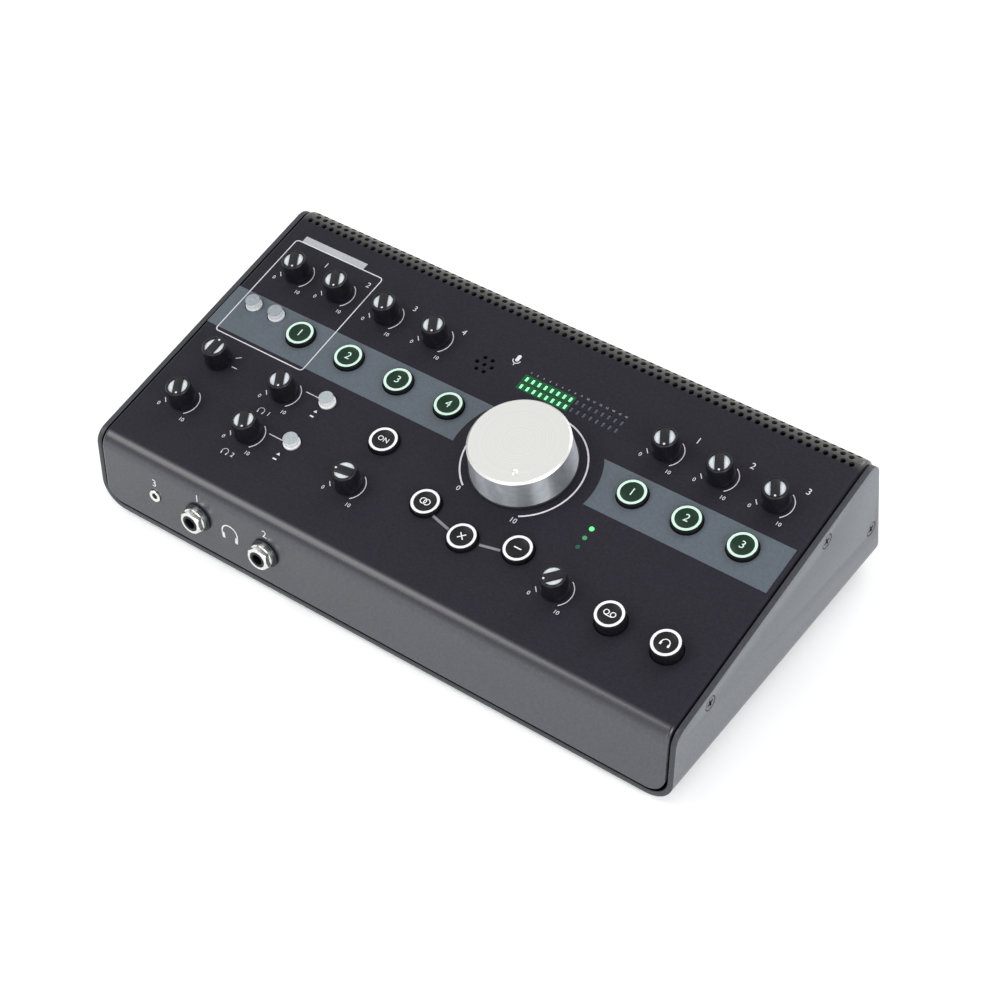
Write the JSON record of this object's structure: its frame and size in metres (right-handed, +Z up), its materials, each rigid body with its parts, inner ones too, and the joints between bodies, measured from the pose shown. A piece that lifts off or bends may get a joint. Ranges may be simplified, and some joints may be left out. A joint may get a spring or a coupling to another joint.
{
  "type": "studio monitor controller",
  "caption": "Low wedge-shaped desktop monitor controller of bent sheet metal with a large volume knob, level knobs, lit push buttons, a level meter and headphone sockets.",
  "frame": {"origin": "under the middle of the object's bounding box, on the surface that the feet stand on", "axes": "+X to the right of a user at the front, +Y to the rear, +Z up; the panel slopes up to the rear"},
  "size_m": [0.37, 0.209, 0.0948],
  "materials": {
    "grey_paint": "satin grey powder paint on bent steel sheet",
    "dark_paint": "satin near-black paint with a grey band, grey front and printed lines",
    "aluminium": "turned and fine-brushed, with a bright edge",
    "nickel": "nickel plated steel",
    "rubber": "matt moulded rubber",
    "circuit_board": "green solder mask on glass laminate",
    "lit_plastic": "black caps with a pale or green lit ring",
    "pale_plastic": "pale grey moulded plastic",
    "black_steel": "blackened steel",
    "black_plastic": "black moulded plastic"
  },
  "bodies": {
    "housing": {"control_board": "circuit_board", "volume_control": "black_steel", "level_meter": "lit_plastic", "talkback_microphone": "black_steel", "phones_1_jack": "black_plastic", "phones_1_nut": "nickel", "phones_2_jack": "black_plastic", "phones_2_nut": "nickel", "small_phones_jack": "pale_plastic", "rear_jack_board": "black_plastic", "combo_socket_1": "black_plastic", "combo_socket_2": "black_plastic", "usb_socket": "nickel", "power_inlet": "black_plastic", "base_wrap": "grey_paint", "top_cover": "dark_paint", "main_board": "circuit_board", "right_side_screw_1": "nickel", "right_side_screw_2": "nickel", "right_side_screw_3": "nickel", "left_side_screw_1": "nickel", "left_side_screw_2": "nickel", "left_side_screw_3": "nickel", "front_right_foot": "rubber", "front_left_foot": "rubber", "rear_right_foot": "rubber", "rear_left_foot": "rubber"},
    "preamp_1_gain_knob_body": {"preamp_1_gain_knob": "black_plastic"},
    "preamp_2_gain_knob_body": {"preamp_2_gain_knob": "black_plastic"},
    "line_2_trim_knob_body": {"line_2_trim_knob": "black_plastic"},
    "line_3_trim_knob_body": {"line_3_trim_knob": "black_plastic"},
    "output_1_trim_knob_body": {"output_1_trim_knob": "black_plastic"},
    "output_2_trim_knob_body": {"output_2_trim_knob": "black_plastic"},
    "output_3_trim_knob_body": {"output_3_trim_knob": "black_plastic"},
    "cue_source_knob_body": {"cue_source_knob": "black_plastic"},
    "direct_mix_knob_body": {"direct_mix_knob": "black_plastic"},
    "phones_1_level_knob_body": {"phones_1_level_knob": "black_plastic"},
    "phones_2_level_knob_body": {"phones_2_level_knob": "black_plastic"},
    "studio_level_knob_body": {"studio_level_knob": "black_plastic"},
    "talkback_level_knob_body": {"talkback_level_knob": "black_plastic"},
    "volume_knob_body": {"volume_knob": "aluminium"},
    "source_1_button_body": {"source_1_button": "lit_plastic"},
    "source_2_button_body": {"source_2_button": "lit_plastic"},
    "source_3_button_body": {"source_3_button": "lit_plastic"},
    "source_4_button_body": {"source_4_button": "lit_plastic"},
    "output_1_button_body": {"output_1_button": "lit_plastic"},
    "output_2_button_body": {"output_2_button": "lit_plastic"},
    "output_3_button_body": {"output_3_button": "lit_plastic"},
    "studio_on_button_body": {"studio_on_button": "lit_plastic"},
    "mono_button_body": {"mono_button": "lit_plastic"},
    "mute_button_body": {"mute_button": "lit_plastic"},
    "dim_button_body": {"dim_button": "lit_plastic"},
    "talk_to_recorder_button_body": {"talk_to_recorder_button": "lit_plastic"},
    "talk_to_cue_button_body": {"talk_to_cue_button": "lit_plastic"},
    "preamp_1_switch_body": {"preamp_1_switch": "pale_plastic"},
    "preamp_2_switch_body": {"preamp_2_switch": "pale_plastic"},
    "phones_1_switch_body": {"phones_1_switch": "pale_plastic"},
    "phones_2_switch_body": {"phones_2_switch": "pale_plastic"},
    "power_button_body": {"power_button": "black_plastic"}
  },
  "joints": [
    {"name": "preamp_1_gain_turn", "type": "hinge", "parent": "housing", "child": "preamp_1_gain_knob_body", "pos_m": [-0.15599, 0.04423, 0.07953], "axis": [0, -0.1908, 0.9816], "range_deg": [0, 300]},
    {"name": "preamp_2_gain_turn", "type": "hinge", "parent": "housing", "child": "preamp_2_gain_knob_body", "pos_m": [-0.1268, 0.04423, 0.07953], "axis": [0, -0.1908, 0.9816], "range_deg": [0, 300]},
    {"name": "line_2_trim_turn", "type": "hinge", "parent": "housing", "child": "line_2_trim_knob_body", "pos_m": [-0.0932, 0.04423, 0.07953], "axis": [0, -0.1908, 0.9816], "range_deg": [0, 300]},
    {"name": "line_3_trim_turn", "type": "hinge", "parent": "housing", "child": "line_3_trim_knob_body", "pos_m": [-0.05961, 0.04423, 0.07953], "axis": [0, -0.1908, 0.9816], "range_deg": [0, 300]},
    {"name": "output_1_trim_turn", "type": "hinge", "parent": "housing", "child": "output_1_trim_knob_body", "pos_m": [0.08969, 0.04138, 0.07897], "axis": [0, -0.1908, 0.9816], "range_deg": [0, 300]},
    {"name": "output_2_trim_turn", "type": "hinge", "parent": "housing", "child": "output_2_trim_knob_body", "pos_m": [0.12221, 0.04138, 0.07897], "axis": [0, -0.1908, 0.9816], "range_deg": [0, 300]},
    {"name": "output_3_trim_turn", "type": "hinge", "parent": "housing", "child": "output_3_trim_knob_body", "pos_m": [0.1547, 0.04138, 0.07897], "axis": [0, -0.1908, 0.9816], "range_deg": [0, 300]},
    {"name": "cue_source_turn", "type": "hinge", "parent": "housing", "child": "cue_source_knob_body", "pos_m": [-0.15599, -0.02459, 0.06615], "axis": [0, -0.1908, 0.9816], "range_deg": [-150, 150]},
    {"name": "direct_mix_turn", "type": "hinge", "parent": "housing", "child": "direct_mix_knob_body", "pos_m": [-0.15599, -0.05501, 0.06023], "axis": [0, -0.1908, 0.9816], "range_deg": [0, 300]},
    {"name": "phones_1_level_turn", "type": "hinge", "parent": "housing", "child": "phones_1_level_knob_body", "pos_m": [-0.11, -0.02459, 0.06615], "axis": [0, -0.1908, 0.9816], "range_deg": [0, 300]},
    {"name": "phones_2_level_turn", "type": "hinge", "parent": "housing", "child": "phones_2_level_knob_body", "pos_m": [-0.11, -0.05501, 0.06023], "axis": [0, -0.1908, 0.9816], "range_deg": [0, 300]},
    {"name": "studio_level_turn", "type": "hinge", "parent": "housing", "child": "studio_level_knob_body", "pos_m": [-0.04222, -0.05501, 0.06023], "axis": [0, -0.1908, 0.9816], "range_deg": [-249, 51]},
    {"name": "talkback_level_turn", "type": "hinge", "parent": "housing", "child": "talkback_level_knob_body", "pos_m": [0.08839, -0.05501, 0.06023], "axis": [0, -0.1908, 0.9816], "range_deg": [-287, 13]},
    {"name": "volume_turn", "type": "hinge", "parent": "housing", "child": "volume_knob_body", "pos_m": [0.0299, -0.00015, 0.0709], "axis": [0, -0.1908, 0.9816], "range_deg": [0, 300]},
    {"name": "source_1_press", "type": "slide", "parent": "housing", "child": "source_1_button_body", "axis": [0, 0.1908, -0.9816], "range_m": [0, 0.0014], "stiffness_N_per_m": 600, "springref_m": -0.001},
    {"name": "source_2_press", "type": "slide", "parent": "housing", "child": "source_2_button_body", "axis": [0, 0.1908, -0.9816], "range_m": [0, 0.0014], "stiffness_N_per_m": 600, "springref_m": -0.001},
    {"name": "source_3_press", "type": "slide", "parent": "housing", "child": "source_3_button_body", "axis": [0, 0.1908, -0.9816], "range_m": [0, 0.0014], "stiffness_N_per_m": 600, "springref_m": -0.001},
    {"name": "source_4_press", "type": "slide", "parent": "housing", "child": "source_4_button_body", "axis": [0, 0.1908, -0.9816], "range_m": [0, 0.0014], "stiffness_N_per_m": 600, "springref_m": -0.001},
    {"name": "output_1_press", "type": "slide", "parent": "housing", "child": "output_1_button_body", "axis": [0, 0.1908, -0.9816], "range_m": [0, 0.0014], "stiffness_N_per_m": 600, "springref_m": -0.001},
    {"name": "output_2_press", "type": "slide", "parent": "housing", "child": "output_2_button_body", "axis": [0, 0.1908, -0.9816], "range_m": [0, 0.0014], "stiffness_N_per_m": 600, "springref_m": -0.001},
    {"name": "output_3_press", "type": "slide", "parent": "housing", "child": "output_3_button_body", "axis": [0, 0.1908, -0.9816], "range_m": [0, 0.0014], "stiffness_N_per_m": 600, "springref_m": -0.001},
    {"name": "studio_on_press", "type": "slide", "parent": "housing", "child": "studio_on_button_body", "axis": [0, 0.1908, -0.9816], "range_m": [0, 0.0014], "stiffness_N_per_m": 600, "springref_m": -0.001},
    {"name": "mono_press", "type": "slide", "parent": "housing", "child": "mono_button_body", "axis": [0, 0.1908, -0.9816], "range_m": [0, 0.0014], "stiffness_N_per_m": 600, "springref_m": -0.001},
    {"name": "mute_press", "type": "slide", "parent": "housing", "child": "mute_button_body", "axis": [0, 0.1908, -0.9816], "range_m": [0, 0.0014], "stiffness_N_per_m": 600, "springref_m": -0.001},
    {"name": "dim_press", "type": "slide", "parent": "housing", "child": "dim_button_body", "axis": [0, 0.1908, -0.9816], "range_m": [0, 0.0014], "stiffness_N_per_m": 600, "springref_m": -0.001},
    {"name": "talk_to_recorder_press", "type": "slide", "parent": "housing", "child": "talk_to_recorder_button_body", "axis": [0, 0.1908, -0.9816], "range_m": [0, 0.0014], "stiffness_N_per_m": 600, "springref_m": -0.001},
    {"name": "talk_to_cue_press", "type": "slide", "parent": "housing", "child": "talk_to_cue_button_body", "axis": [0, 0.1908, -0.9816], "range_m": [0, 0.0014], "stiffness_N_per_m": 600, "springref_m": -0.001},
    {"name": "preamp_1_switch_press", "type": "slide", "parent": "housing", "child": "preamp_1_switch_body", "axis": [0, 0.1908, -0.9816], "range_m": [0, 0.0014], "stiffness_N_per_m": 600, "springref_m": -0.001},
    {"name": "preamp_2_switch_press", "type": "slide", "parent": "housing", "child": "preamp_2_switch_body", "axis": [0, 0.1908, -0.9816], "range_m": [0, 0.0014], "stiffness_N_per_m": 600, "springref_m": -0.001},
    {"name": "phones_1_switch_press", "type": "slide", "parent": "housing", "child": "phones_1_switch_body", "axis": [0, 0.1908, -0.9816], "range_m": [0, 0.0014], "stiffness_N_per_m": 600, "springref_m": -0.001},
    {"name": "phones_2_switch_press", "type": "slide", "parent": "housing", "child": "phones_2_switch_body", "axis": [0, 0.1908, -0.9816], "range_m": [0, 0.0014], "stiffness_N_per_m": 600, "springref_m": -0.001},
    {"name": "power_press", "type": "slide", "parent": "housing", "child": "power_button_body", "axis": [0, -0.9885, -0.1513], "range_m": [0, 0.0024], "stiffness_N_per_m": 700, "springref_m": -0.001}
  ]
}
